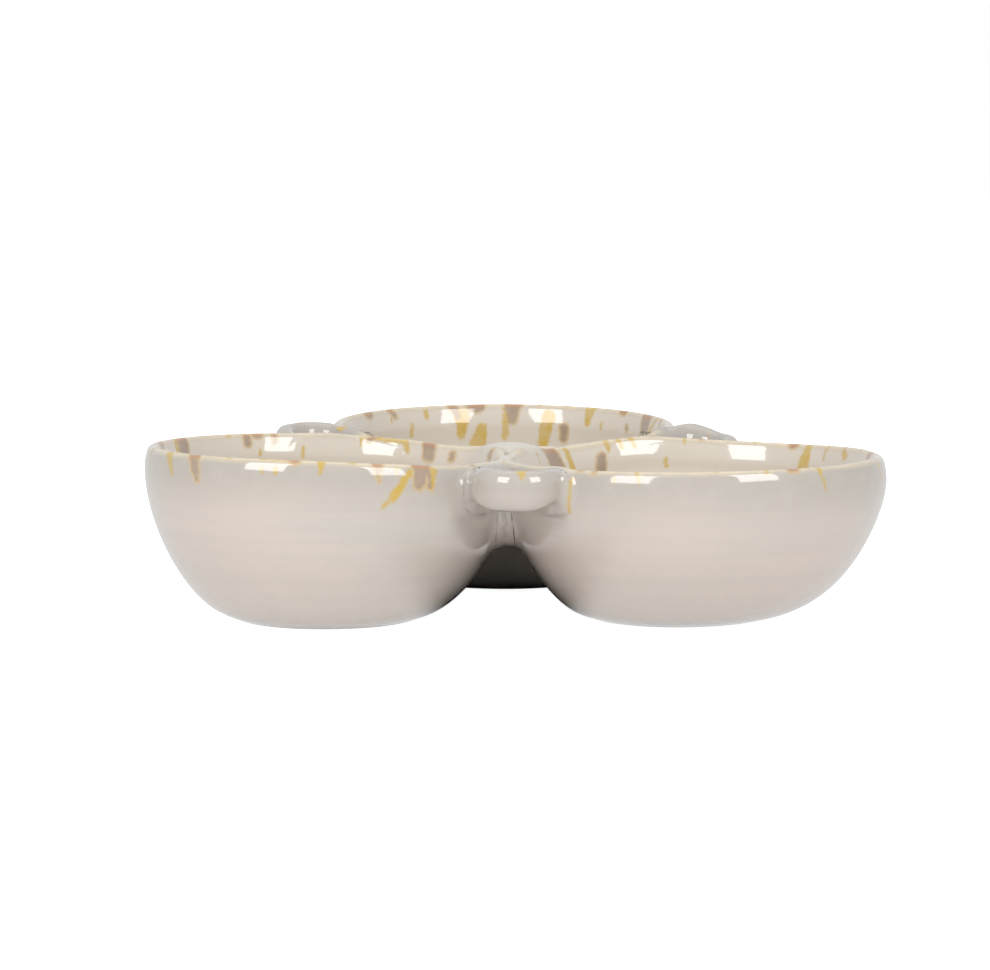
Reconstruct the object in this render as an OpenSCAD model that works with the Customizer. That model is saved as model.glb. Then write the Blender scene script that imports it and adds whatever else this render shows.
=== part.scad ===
// Divided serving bowl: three round bowls, thrown one by one and pressed together while soft,
// with a loop handle in each outer notch, a web of clay under each joint and a plug of clay
// where the three walls meet. Front of the dish is -Y, up is +Z, and it stands on z = 0.

/* [Bowls] */
// Outer radius of the front left bowl at its widest
left_r = 74; // [66:1:82]
// Outer radius of the front right bowl at its widest
right_r = 78.5; // [70:0.5:86]
// Outer radius of the rear bowl at its widest
rear_r = 75.5; // [68:0.5:84]
// Thickness of the thrown walls
wall = 5; // [4:0.5:7]
// Thickness of the bottoms inside the foot rings
floor_t = 6; // [5:0.5:9]
// Roundness of the walls: low numbers give a full belly, high ones a slack slope
belly = 1.33; // [1.1:0.01:1.6]

/* [Joints between the bowls] */
// How far the two front bowls are pressed into each other
front_lap = 4.8; // [3:0.2:7]
// How far the left and rear bowls are pressed into each other
left_lap = 4; // [3:0.2:7]
// How far the right and rear bowls are pressed into each other
right_lap = 6; // [3:0.2:7]

/* [Feet] */
// Radius of the left bowl's foot
left_foot_r = 36; // [30:1:42]
// Radius of the right bowl's foot
right_foot_r = 34; // [28:1:40]
// Radius of the rear bowl's foot
rear_foot_r = 36; // [30:1:42]
// Width of the ring that each foot stands on
foot_ring_w = 6; // [4:0.5:10]
// Depth of the hollow inside each foot ring
foot_hollow = 1.5; // [0.5:0.25:2.5]

/* [Rims] */
// Height of the left and rear bowls' rims on their far sides
rim_h = 71.4; // [64:0.2:80]
// How much lower the right bowl's rim is on its far side
right_drop = 6; // [0:0.2:10]
// How far the rims dip where the bowls meet
joint_dip = 5.6; // [0:0.2:10]
// Turn of the left rim's low side away from the plug, towards the front
left_low_turn = 15; // [0:1:30]
// Height of the lip that curls in above the widest place
lip_h = 9; // [6:0.5:12]
// How far the lip curls in over the bowl
lip_curl = 2; // [1:0.25:4]
// Thickness of the lip at its round top
lip_t = 4.4; // [3:0.2:6]
// How far the lip's root stands proud of both faces of the wall
lip_proud = 0.3; // [0.2:0.1:0.8]

/* [Handles] */
// Radius of each handle's loop along its middle, seen from above
loop_r = 14.6; // [13:0.2:20]
// Room for fingers between the web and the inside of the loop
finger_gap = 41; // [36:1:46]
// Thickness of the handles, seen from above
handle_t = 8.5; // [7:0.5:11]
// Height of the handles at the middle of the loop
handle_mid_h = 16; // [12:0.5:20]
// Height of the handles where they narrow before the bowls
handle_end_h = 12.5; // [9:0.5:16]
// How far the smeared ends swell to each side at the bowls
flare = 3.8; // [0.5:0.1:4.5]
// How far the smeared ends swell above and below at the bowls
end_flare = 1.9; // [0.5:0.1:3]
// How far from a bowl its smeared end begins
flare_reach = 5; // [3:0.5:9]
// Sideways place of the front handle, from the joint towards the right bowl
front_shift = 5.5; // [-6:0.5:6]
// Sideways place of the left handle, from the joint towards the rear bowl
left_shift = 0; // [-6:0.5:6]
// Sideways place of the right handle, from the joint towards the rear bowl
right_shift = 0; // [-6:0.5:6]
// Top of the front handle above the left rim beside it
front_rise_at_left = -1.6; // [-4:0.2:2]
// Top of the front handle above the right rim beside it
front_rise_at_right = -0.6; // [-4:0.2:2]
// Top of the left handle above the left rim beside it
left_rise_at_left = 1.6; // [-4:0.2:2]
// Top of the left handle above the rear rim beside it
left_rise_at_rear = 2.4; // [-4:0.2:2]
// Top of the right handle above the right rim beside it
right_rise_at_right = -0.6; // [-4:0.2:2]
// Top of the right handle above the rear rim beside it
right_rise_at_rear = 1.4; // [-4:0.2:2]

/* [Webs and plug] */
// Thickness of the webs at their edges
web_t = 6.5; // [4:0.5:8]
// Depth of the webs below the joint rims
web_depth = 33.8; // [24:0.2:44]
// How far the webs' outer faces stand out past where the walls meet
web_proud = 0.5; // [0.25:0.25:3]
// How far the webs' tops lie below the joint rims
web_drop = 0.6; // [0.2:0.1:2]
// How far the round hump over the plug rises above the joint rims
hump_rise = 2.4; // [0.6:0.2:6]
// Radius of the hump's dome
dome_r = 40; // [34:1:60]
// Radius of the plug
plug_r = 15; // [13:0.5:17]
// Depth of the plug's arched underside below the joint rims, at its middle
plug_depth = 21.8; // [14:0.2:30]

/* [Hidden] */

// Overrun of every cutting shape past what it cuts
over = 3;
// How far a wall runs up inside its lip
lip_root = lip_h / 8;
// Angle between neighbouring points of a wall's outline
wall_step = 5;
// Points along one side of a lip, round its top, round a handle's section and along its path
lip_steps = 5;
top_steps = 8;
section_sides = 18;
arc_steps = 24;
leg_steps = 5;
// Points along the arched edge of a web
arch_steps = 12;
// Squareness of a handle's section: 1 is an ellipse, less is fuller in its corners
section_power_share = 0.85;
// How far from the walls a handle reaches its full height
handle_ease = 0.75 * loop_r;
// How deep a handle's leg runs into the wall before it is cut to it, and its least length
leg_depth = wall;
leg_min = handle_t / 4;
// How far the plug's arched underside drops towards its edge
plug_arch = 0.6 * plug_r;
$fn = 240;

// Numbers of the bowls
LEFT = 0;
RIGHT = 1;
REAR = 2;

// Numbers of the notches between them, and the bowls on each, counted so that a notch opens
// to the left of the line from its first bowl to its second
FRONT_NOTCH = 0;
LEFT_NOTCH = 1;
RIGHT_NOTCH = 2;
joints = [[RIGHT, LEFT], [LEFT, REAR], [REAR, RIGHT]];
shifts = [-front_shift, left_shift, -right_shift];
rises = [
    [front_rise_at_right, front_rise_at_left],
    [left_rise_at_left, left_rise_at_rear],
    [right_rise_at_rear, right_rise_at_right]
];

// Heights of the joint rims, the hump and the lowest places of the webs and the plug
joint_h = rim_h - joint_dip;
hump_h = joint_h + hump_rise;
web_base = joint_h - web_depth;
plug_base = joint_h - plug_depth;

// The bowls stand where circles of their radii overlap by the three laps
front_d = left_r + right_r - front_lap;
left_d = left_r + rear_r - left_lap;
right_d = right_r + rear_r - right_lap;
rear_x = (pow(front_d, 2) + pow(left_d, 2) - pow(right_d, 2)) / (2 * front_d);
rear_y = sqrt(pow(left_d, 2) - pow(rear_x, 2));

// The middle of the box round the dish lies over the origin
mid_x = (min(-left_r, rear_x - rear_r) + max(front_d + right_r, rear_x + rear_r)) / 2;
mid_y = (rear_y + rear_r - max(left_r, right_r)) / 2;

radii = [left_r, right_r, rear_r];
feet = [left_foot_r, right_foot_r, rear_foot_r];
far_heights = [rim_h, rim_h - right_drop, rim_h];
low_turns = [-left_low_turn, 0, 0];
centres = [[-mid_x, -mid_y], [front_d - mid_x, -mid_y], [rear_x - mid_x, rear_y - mid_y]];

// The three joint planes meet in one upright line, where all three bowls are equally near
plug_x = (pow(front_d, 2) + pow(left_r, 2) - pow(right_r, 2)) / (2 * front_d);
plug_y = ((pow(left_d, 2) + pow(left_r, 2) - pow(rear_r, 2)) / 2 - plug_x * rear_x) / rear_y;
plug_at = [plug_x - mid_x, plug_y - mid_y];

// Lip tops lie this far inside the widest radius
crest_in = lip_curl + lip_t / 2;
// Every cutting shape that is open above reaches this height
top_h = max(far_heights) + hump_rise + 2 * over;

// Direction of a vector in plan
function heading(v) = atan2(v[1], v[0]);

// The side on which a bowl's rim is lowest
function low_side(i) = heading(plug_at - centres[i]) + low_turns[i];

// Slope of a rim from its far side down to the joints
function lean(i) = asin((far_heights[i] - joint_h) / (2 * (radii[i] - crest_in)));

// Height at which the wall is widest, which is where the lip begins, at the bowl's axis
function widest_h(i) = (far_heights[i] + joint_h) / 2 - lip_h;

// Height of a rim's top on the side that faces an angle
function rim_at(i, angle) =
    widest_h(i) + lip_h - (radii[i] - crest_in) * sin(lean(i)) * cos(angle - low_side(i));

// Outer radius of a wall under its lip
function wall_r(i) = radii[i] - lip_proud;

// Outer face of a wall at t degrees, 0 at the foot and 90 at the widest place
function outer_at(i, t) = [
    feet[i] + (wall_r(i) - feet[i]) * pow(sin(t), belly),
    widest_h(i) * (1 - cos(t))
];

// Direction from a wall's outer face to its inner one at t degrees
function inward_at(i, t) =
    let (
        run = (wall_r(i) - feet[i]) * belly * pow(sin(t), belly - 1) * cos(t),
        rise = widest_h(i) * sin(t)
    )
    [-rise, run] / norm([rise, run]);

// Inner face of a wall: the outer one moved in by its thickness, which is the bottom's at the foot
function inner_at(i, t) = outer_at(i, t) + (floor_t + (wall - floor_t) * sin(t)) * inward_at(i, t);

function outer_wall(i) = [for (t = [wall_step : wall_step : 90]) outer_at(i, t)];
function inner_wall(i) = [for (t = [90 : -wall_step : wall_step]) inner_at(i, t)];

// Outer side of a lip, then its round top, from the lip's base at height 0
function lip_outside(i) = [
    for (k = [0 : lip_steps])
        [radii[i] - lip_curl * pow(k / lip_steps, 2), (lip_h - lip_t / 2) * k / lip_steps]
];
function lip_top(i, turn) = [
    for (k = [1 : top_steps])
        [radii[i] - crest_in, lip_h - lip_t / 2]
        + lip_t / 2 * [cos(turn * k / top_steps), sin(turn * k / top_steps)]
];
function lip_inside(i) = [
    for (k = [lip_steps - 1 : -1 : 0])
        let (root_t = wall + 2 * lip_proud)
        [
            radii[i] - root_t - (lip_curl + lip_t - root_t) * pow(k / lip_steps, 2),
            (lip_h - lip_t / 2) * k / lip_steps
        ]
];

// Places a lip's own frame, level at the bowl's axis, onto its sloping rim
module on_rim(i)
    translate([centres[i][0], centres[i][1], widest_h(i)])
        rotate(low_side(i))
            rotate([0, lean(i), 0])
                children();

// Ends a wall inside its lip's root, on the slope of the rim
module trim_above_wall(i)
    difference() {
        translate(centres[i])
            children();
        on_rim(i)
            translate([0, 0, lip_root])
                cylinder(r = radii[i] + over, h = top_h);
    }

// Half space beyond the joint plane between bowls i and j, seen from i
module beyond_joint(i, j)
    translate(centres[i])
        rotate(heading(centres[j] - centres[i]))
            translate([joint_from(i, j), -radii[i], -over])
                cube([radii[i], 2 * radii[i], top_h + over]);

// One thrown bowl: wall, foot ring and curled lip
module thrown_bowl(i) {
    trim_above_wall(i)
        rotate_extrude()
            polygon(concat(
                [
                    [0, foot_hollow],
                    [feet[i] - foot_ring_w - foot_hollow, foot_hollow],
                    [feet[i] - foot_ring_w, 0],
                    [feet[i], 0]
                ],
                outer_wall(i),
                [[wall_r(i), widest_h(i) + lip_h], [wall_r(i) - wall, widest_h(i) + lip_h]],
                inner_wall(i),
                [[0, floor_t]]
            ));
    on_rim(i)
        rotate_extrude()
            polygon(concat(lip_outside(i), lip_top(i, 180), lip_inside(i)));
}

// The space that a bowl takes up, with its hollow filled and open above its lip's top
module bowl_space(i) {
    trim_above_wall(i)
        rotate_extrude()
            polygon(concat(
                [[0, 0], [feet[i], 0]],
                outer_wall(i),
                [[wall_r(i), widest_h(i) + lip_h], [0, widest_h(i) + lip_h]]
            ));
    on_rim(i)
        rotate_extrude()
            polygon(concat(
                [[0, 0]],
                lip_outside(i),
                lip_top(i, 90),
                [[radii[i] - crest_in, top_h], [0, top_h]]
            ));
}

// Distance from bowl i's axis to its joint plane with bowl j
function joint_from(i, j) =
    let (d = norm(centres[j] - centres[i]))
    (pow(d, 2) + pow(radii[i], 2) - pow(radii[j], 2)) / (2 * d);

// Half the width of a joint where its bowls are widest
function half_joint(k) =
    sqrt(pow(radii[joints[k][0]], 2) - pow(joint_from(joints[k][0], joints[k][1]), 2));

// A joint's own frame: X runs from its first bowl to its second and Y out of the notch
module at_joint(k) {
    first = joints[k][0];
    second = joints[k][1];
    translate(centres[first])
        rotate(heading(centres[second] - centres[first]))
            translate([joint_from(first, second), 0])
                children();
}

// Distance from a joint's middle back to the plug's axis
function plug_back(k) =
    sqrt(pow(norm(plug_at - centres[joints[k][0]]), 2) - pow(joint_from(joints[k][0], joints[k][1]), 2));

// Distance from a joint's middle out to its web's outer face
function web_face(k) = half_joint(k) + web_proud;

// Outline of a web in its joint's plane, outwards and up: a quarter of an ellipse under the walls'
// touching place, straight on towards the plug, and up to the rims
function web_outline(k) =
    let (
        touch_h = min(widest_h(joints[k][0]), widest_h(joints[k][1])),
        top = joint_h - web_drop
    )
    concat(
        [[-plug_back(k), top], [-plug_back(k), web_base]],
        [
            for (n = [0 : arch_steps])
                let (turn = 90 * n / arch_steps)
                [web_face(k) * sin(turn), touch_h - (touch_h - web_base) * cos(turn)]
        ],
        [[web_face(k), top]]
    );

// Web of clay worked in between two bowls, around the place where their walls touch
module web(k)
    difference() {
        at_joint(k)
            translate([-web_t / 2, 0, 0])
                rotate([90, 0, 90])
                    linear_extrude(web_t)
                        polygon(web_outline(k));
        translate(plug_at)
            cylinder(r = plug_r, h = top_h);
        bowl_space(joints[k][0]);
        bowl_space(joints[k][1]);
    }

// Height of the dome's surface at a distance from its middle
function dome_at(r) = hump_h - dome_r + sqrt(pow(dome_r, 2) - pow(r, 2));

// Plug between the three walls: a round hump above and a shallow arch below
module plug()
    difference() {
        translate(plug_at)
            rotate_extrude()
                polygon(concat(
                    [for (n = [0 : top_steps]) [plug_r * n / top_steps, dome_at(plug_r * n / top_steps)]],
                    [
                        for (n = [top_steps : -1 : 0])
                            [plug_r * n / top_steps, plug_base - plug_arch * pow(n / top_steps, 2)]
                    ]
                ));
        for (i = [LEFT, RIGHT, REAR])
            bowl_space(i);
    }

// Distance from a joint's middle out to the middle of its handle's loop
function loop_out(k) = web_face(k) + finger_gap - loop_r + handle_t / 2;

// Sideways distance from a bowl's axis to the leg of the handle that ends on it
function leg_from(k, side) =
    joint_from(joints[k][side], joints[k][1 - side]) + (1 - 2 * side) * shifts[k] - loop_r;

// Where a handle's leg ends, inside the wall that it is pressed on
function leg_end(k, side) =
    min(
        loop_out(k) - leg_min,
        sqrt(pow(radii[joints[k][side]] - leg_depth, 2) - pow(leg_from(k, side), 2))
    );

// Angle in plan from a bowl's axis to the leg of the handle that ends on it
function leg_angle(k, side) =
    heading(centres[joints[k][1 - side]] - centres[joints[k][side]])
    + (1 - 2 * side) * atan2(loop_out(k), leg_from(k, side));

// Height of a handle's top at one of its ends
function end_top(k, side) = rim_at(joints[k][side], leg_angle(k, side)) + rises[k][side];

// Path of a handle in its joint's frame: a leg, half a turn and a leg, as a point and an angle out
function loop_path(k) = concat(
    [
        for (n = [0 : leg_steps - 1])
            [[shifts[k] - loop_r, leg_end(k, 0) + (loop_out(k) - leg_end(k, 0)) * n / leg_steps], 180]
    ],
    [
        for (n = [0 : arc_steps])
            let (turn = 180 - 180 * n / arc_steps)
            [[shifts[k], loop_out(k)] + loop_r * [cos(turn), sin(turn)], turn]
    ],
    [
        for (n = [leg_steps - 1 : -1 : 0])
            [[shifts[k] + loop_r, leg_end(k, 1) + (loop_out(k) - leg_end(k, 1)) * n / leg_steps], 0]
    ]
);

// Distance in a joint's frame from a point to the nearer bowl's wall, and 0 inside it
function clear_of_walls(k, at) =
    let (first = joints[k][0], second = joints[k][1])
    max(0, min(
        norm(at + [joint_from(first, second), 0]) - radii[first],
        norm(at - [joint_from(second, first), 0]) - radii[second]
    ));

// Share of its full swelling that a handle's end has at a distance from the wall
function swell_share(gap) = pow(max(0, 1 - gap / flare_reach), 2);

// Squared-off circle: a cosine or sine pulled towards 1
function full(x) = sign(x) * pow(abs(x), section_power_share);

// One section of a handle, square to its path
function loop_section(k, place) =
    let (
        at = place[0],
        gap = clear_of_walls(k, at),
        half_t = handle_t / 2 + flare * swell_share(gap),
        body_h = handle_end_h + (handle_mid_h - handle_end_h) * sin(90 * min(1, gap / handle_ease)),
        half_h = body_h / 2 + end_flare * swell_share(gap),
        along_share = (at[0] - shifts[k] + loop_r) / (2 * loop_r),
        middle = end_top(k, 0) + (end_top(k, 1) - end_top(k, 0)) * along_share - handle_mid_h / 2
    )
    [
        for (n = [0 : section_sides - 1])
            let (turn = 360 * n / section_sides, out = half_t * full(cos(turn)))
            [
                at[0] + out * cos(place[1]),
                at[1] + out * sin(place[1]),
                middle + half_h * full(sin(turn))
            ]
    ];

// Skin over a row of closed sections with the same number of points
module skin_over(sections) {
    sides = len(sections[0]);
    last = len(sections) - 1;
    polyhedron(
        points = [for (section = sections) each section],
        faces = concat(
            [[for (n = [0 : sides - 1]) n]],
            [
                for (s = [0 : last - 1], n = [0 : sides - 1])
                    [s * sides + n, (s + 1) * sides + n, (s + 1) * sides + (n + 1) % sides]
            ],
            [
                for (s = [0 : last - 1], n = [0 : sides - 1])
                    [s * sides + n, (s + 1) * sides + (n + 1) % sides, s * sides + (n + 1) % sides]
            ],
            [[for (n = [sides - 1 : -1 : 0]) last * sides + n]]
        )
    );
}

// Loop handle: a pulled strap that ends on both walls of its notch
module handle(k)
    difference() {
        at_joint(k)
            skin_over([for (place = loop_path(k)) loop_section(k, place)]);
        bowl_space(joints[k][0]);
        bowl_space(joints[k][1]);
    }

// One thrown bowl, cut flat at its two joints
module joined_bowl(i)
    difference() {
        thrown_bowl(i);
        for (j = [LEFT, RIGHT, REAR])
            if (j != i)
                beyond_joint(i, j);
    }

module left_bowl()
    color("#d8cfc5")
        joined_bowl(LEFT);

module right_bowl()
    color("#d5ccc2")
        joined_bowl(RIGHT);

module rear_bowl()
    color("#cfc8bc")
        joined_bowl(REAR);

module front_handle()
    color("#dcd4c8")
        handle(FRONT_NOTCH);

module left_handle()
    color("#d9d0c3")
        handle(LEFT_NOTCH);

module right_handle()
    color("#d9d0c3")
        handle(RIGHT_NOTCH);

module front_web()
    color("#e0d8cd")
        web(FRONT_NOTCH);

module left_web()
    color("#ddd5ca")
        web(LEFT_NOTCH);

module right_web()
    color("#ddd5ca")
        web(RIGHT_NOTCH);

module centre_plug()
    color("#d3ccc0")
        plug();

left_bowl();
right_bowl();
rear_bowl();
front_handle();
left_handle();
right_handle();
front_web();
left_web();
right_web();
centre_plug();
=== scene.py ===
# %% [markdown]
# # A divided serving bowl in glazed stoneware
#
# The dish is three thrown bowls pressed together while the clay is soft, with a pulled loop handle
# in each notch. This lesson gives every piece a skin worked out with numpy, softens the places where
# the clay is smeared together, and covers it all with one pale glaze that runs in brown and yellow
# streaks over the rims. Every number in this file is in millimetres until a mesh is made.

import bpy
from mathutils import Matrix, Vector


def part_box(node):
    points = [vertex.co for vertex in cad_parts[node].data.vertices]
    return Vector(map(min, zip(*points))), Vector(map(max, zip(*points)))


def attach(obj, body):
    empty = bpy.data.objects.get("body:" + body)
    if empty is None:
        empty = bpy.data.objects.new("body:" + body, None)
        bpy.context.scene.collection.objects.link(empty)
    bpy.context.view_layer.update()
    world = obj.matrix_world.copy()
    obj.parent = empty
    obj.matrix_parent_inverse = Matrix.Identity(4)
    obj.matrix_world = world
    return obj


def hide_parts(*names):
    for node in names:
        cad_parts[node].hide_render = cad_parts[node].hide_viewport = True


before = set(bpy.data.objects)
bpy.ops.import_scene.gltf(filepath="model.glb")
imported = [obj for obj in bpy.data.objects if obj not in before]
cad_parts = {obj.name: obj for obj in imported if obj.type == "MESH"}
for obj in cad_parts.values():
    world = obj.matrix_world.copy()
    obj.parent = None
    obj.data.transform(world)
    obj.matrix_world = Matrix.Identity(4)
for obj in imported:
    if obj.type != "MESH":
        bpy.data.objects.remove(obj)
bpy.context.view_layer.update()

import math

import bpy
import numpy as np
from mathutils import Vector

MM = 0.001

# %% [markdown]
# ## The three circles
#
# Seen from above, the dish is three circles of different size that overlap a little. Their middles and
# radii can be read from the boxes of the CAD nodes, so the skins always sit where the solids are. A
# joint lies where two circles are equally near: its plane stands square on the line between the middles.

# %% Circles and joints
def corners(node):
    """Lowest and highest corner of a CAD node, in millimetres."""
    low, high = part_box(node)
    return np.array(low) / MM, np.array(high) / MM


def bowl_circle(node, free_axis, far_side):
    """Middle and radius of a bowl: half its box along the axis it has free, set in from its far side."""
    low, high = corners(node)
    radius = (high[free_axis] - low[free_axis]) / 2
    middle = (low + high)[:2] / 2
    other = 1 - free_axis
    middle[other] = low[other] + radius if far_side < 0 else high[other] - radius
    return middle, radius


BOWLS = ["left_bowl", "right_bowl", "rear_bowl"]
circles = [
    bowl_circle("left_bowl", 1, -1),
    bowl_circle("right_bowl", 1, 1),
    bowl_circle("rear_bowl", 0, 1),
]
middles = np.array([c[0] for c in circles])
radii = np.array([c[1] for c in circles])

# each joint: its first and second bowl, so that its notch opens to the left of the line between them
JOINTS = [(1, 0), (0, 2), (2, 1)]


def joint_from(i, j):
    """Distance from bowl i's axis to its joint plane with bowl j: (d*d + ri*ri - rj*rj) / 2d."""
    d = np.linalg.norm(middles[j] - middles[i])
    return (d * d + radii[i] ** 2 - radii[j] ** 2) / (2 * d)


def joint_frame(k):
    """Origin, across and outward directions of joint k in plan."""
    first, second = JOINTS[k]
    across = (middles[second] - middles[first]) / np.linalg.norm(middles[second] - middles[first])
    out = np.array([-across[1], across[0]])
    return middles[first] + joint_from(first, second) * across, across, out


def to_joint(k, points):
    """Points in joint k's own frame: across the joint, out of the notch, up."""
    origin, across, out = joint_frame(k)
    plan = points[..., :2] - origin
    return np.stack([plan @ across, plan @ out, points[..., 2]], -1)


def from_joint(k, points):
    """The way back from joint k's frame to the dish's."""
    origin, across, out = joint_frame(k)
    plan = origin + points[..., :1] * across + points[..., 1:2] * out
    return np.concatenate([plan, points[..., 2:]], -1)


# the three joint planes meet in one upright line, the hub: solve for equal power to all circles
left, right, rear = range(3)
power = np.array([m @ m - r * r for m, r in zip(middles, radii)])
hub = np.linalg.solve(
    2 * np.array([middles[right] - middles[left], middles[rear] - middles[left]]),
    np.array([power[right] - power[left], power[rear] - power[left]]),
)
print("middles", middles.round(1).tolist(), "radii", radii.round(2).tolist(), "hub", hub.round(2).tolist())

# %% [markdown]
# ## The outline of a thrown wall
#
# A thrown bowl is a profile turned round an axis. The profile here runs from the middle of the
# underside, over the foot ring, up the belly, over the lip that leans in, and down the inside. It is put
# together from a few formulas, and then softened along its own length, because wet clay has no hard
# corner and a glossy glaze would show every one.

# %% Profile of a bowl
WALL = 5.0
TOP_WALL = 2.6
FLOOR = 6.0
FOOT_RING = 6.0
FOOT_HOLLOW = 1.5
LIP_H = 9.6
LIP_T = 4.4
LIP_CURL = 1.3
JOINT_H = 65.8

# foot radius, and the three numbers of the belly's formula
bellies = [
    {"foot": 36.0, "start": 29.4, "rise": 2.12, "swell": 0.207},
    {"foot": 34.0, "start": 25.5, "rise": 3.68, "swell": 0.1075},
    {"foot": 36.0, "start": 29.4, "rise": 2.12, "swell": 0.207},
]
WIDE = JOINT_H - LIP_H


def ease(x):
    """0 below 0, 1 above 1, and a soft step between them: 3x*x - 2x*x*x."""
    x = np.clip(x, 0, 1)
    return x * x * (3 - 2 * x)


def belly_radius(i, share):
    """start + (R - start) * (1 - (1 - share^rise)^2)^swell, with share the height over the widest one."""
    b = bellies[i]
    full = 1 - (1 - np.clip(share, 0, 1) ** b["rise"]) ** 2
    return b["start"] + (radii[i] - b["start"]) * full ** b["swell"]


def along(points):
    """Length along a row of points, from its first one."""
    return np.concatenate([[0], np.cumsum(np.linalg.norm(np.diff(points, axis=0), axis=1))])


def resample(points, stations):
    """Points of a row at the given lengths along it."""
    length = along(points)
    return np.stack([np.interp(stations, length, points[:, c]) for c in range(points.shape[1])], -1)


def soften(points, step, spread, signs=(1, 1)):
    """The row at even steps, each point the mean of its neighbours under a bell curve of that spread.
    Past its ends the row is carried on mirrored, each coordinate times its sign."""
    length = along(points)[-1]
    row = resample(points, np.linspace(0, length, int(length / step) + 1))
    reach = int(4 * spread / step)
    signs = np.array(signs)
    before = row[1 : reach + 1][::-1] * signs + (row[0] - row[0] * signs)
    after = row[-reach - 1 : -1][::-1] * signs + (row[-1] - row[-1] * signs)
    longer = np.concatenate([before, row, after])
    bell = np.exp(-0.5 * (np.arange(-reach, reach + 1) * step / spread) ** 2)
    bell /= bell.sum()
    return np.stack([np.convolve(longer[:, c], bell, "valid") for c in range(row.shape[1])], -1)


def base_profile(i):
    """Radius and height along bowl i's section, for a rim at JOINT_H, with its top set back to that height."""
    b = bellies[i]
    share = np.linspace(0.02, 1, 90)
    belly = np.stack([np.maximum(belly_radius(i, share), b["foot"]), share * WIDE], -1)
    step = np.gradient(belly, axis=0)
    inward = np.stack([-step[:, 1], step[:, 0]], -1)
    inward /= np.linalg.norm(inward, axis=1)[:, None]
    thickness = WALL + (FLOOR - WALL) * (1 - share) + TOP_WALL * ease((share - 0.5) / 0.5)
    inside = belly + inward * thickness[:, None]
    inside = inside[(inside[:, 1] > FLOOR) & (inside[:, 0] > 10)]
    # the lip leans in along a parabola, and its round crest starts at the parabola's last slope
    lean = math.atan(2 * LIP_CURL / (LIP_H - LIP_T / 4))
    side_h = LIP_H - LIP_T / 2 * (1 - math.sin(lean))
    up = np.linspace(0.06, 1, 14)
    outer_lip = np.stack([radii[i] - LIP_CURL * up**2, WIDE + side_h * up], -1)
    turn = np.linspace(lean, math.pi, 16)[1:-1]
    crest_r = radii[i] - LIP_CURL - LIP_T / 2 * math.cos(lean)
    crest_z = WIDE + LIP_H - LIP_T / 2
    crest = np.stack([crest_r + LIP_T / 2 * np.cos(turn), crest_z + LIP_T / 2 * np.sin(turn)], -1)
    fall = np.linspace(1, 0.06, 14)
    inner_low = radii[i] - WALL - TOP_WALL
    inner_r = inner_low + (crest_r - LIP_T / 2 - inner_low) * fall**1.6
    inner_lip = np.stack([inner_r, WIDE + (crest_z - WIDE) * fall], -1)
    ring_r = b["foot"] - FOOT_RING
    foot = [[0, FOOT_HOLLOW], [ring_r - FOOT_HOLLOW, FOOT_HOLLOW], [ring_r, 0], [b["foot"], 0]]
    points = np.concatenate([foot, belly, outer_lip, crest, inner_lip, inside[::-1], [[0, FLOOR]]])
    row = soften(points, 0.3, 0.8, signs=(-1, 1))
    row[:, 1] += (JOINT_H - row[:, 1].max()) * np.clip(row[:, 1] / WIDE, 0, 1)
    return row


profiles = [base_profile(i) for i in range(3)]
for name, row in zip(BOWLS, profiles):
    print(name, "profile", len(row), "points, widest", round(row[:, 0].max(), 2), "top", round(row[:, 1].max(), 2))

# %% [markdown]
# ## Rims that rise and fall
#
# The rims aren't level. The left and rear bowls stand higher on their far sides and dip where the bowls
# meet, because the potter pressed them together there. A short table of angles and heights says so, and
# the same softening, round the circle, makes a smooth line of it.

# %% Rim heights
rim_marks = [
    [
        (0, 65.2), (40, 65.0), (50, 65.7), (58, 66.3), (66, 67.2), (76, 67.8), (90, 68.8), (115, 69.7), (130, 70.1),
        (180, 70.9), (214, 71.4), (264, 71.0), (294, 68.9), (316, 66.6), (335, 65.8),
    ],
    [
        (0, 66.4), (22, 66.6), (46, 65.7), (60, 65.4), (72, 65.7), (86, 66.2), (95, 67.2), (103, 68.0), (110, 67.4),
        (117, 65.9), (124, 64.4), (132, 64.4), (155, 64.8), (180, 65.2), (205, 65.5), (235, 66.0), (250, 66.4), (268, 66.7),
        (280, 67.1), (315, 67.2), (335, 67.4),
    ],
    [
        (0, 68.6), (45, 70.4), (90, 71.3), (135, 70.6), (180, 69.0), (215, 67.0), (238, 65.6), (255, 65.1), (272, 65.3),
        (290, 64.7), (310, 65.9), (330, 66.9),
    ],
]


def rim_table(marks, spread=5.0):
    """Rim height at every whole degree, from the marks, softened round the circle."""
    angles, heights = np.array(marks, float).T
    degrees = np.arange(360)
    raw = np.interp(degrees, np.concatenate([angles - 360, angles, angles + 360]), np.tile(heights, 3))
    bell = np.exp(-0.5 * (np.minimum(degrees, 360 - degrees) / spread) ** 2)
    return np.real(np.fft.ifft(np.fft.fft(raw) * np.fft.fft(bell / bell.sum())))


rim_tables = [rim_table(marks) for marks in rim_marks]


def rim_rise(i, angle):
    """How far bowl i's rim stands above JOINT_H at angles in radians."""
    degrees = np.degrees(angle) % 360
    return np.interp(degrees, np.arange(361), np.append(rim_tables[i], rim_tables[i][0])) - JOINT_H


def lifted(i, height, angle):
    """A profile height moved with the rim: the wall stretches, the lip rides on it unchanged."""
    return height + rim_rise(i, angle) * np.clip((height - FLOOR) / (WIDE - FLOOR), 0, 1)


def lowered(i, height, angle):
    """The way back: the profile height of a real height."""
    rise = rim_rise(i, angle)
    wall = FLOOR + (height - FLOOR) / (1 + rise / (WIDE - FLOOR))
    return np.where(height > WIDE + rise, height - rise, np.where(height > FLOOR, wall, height))


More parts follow.
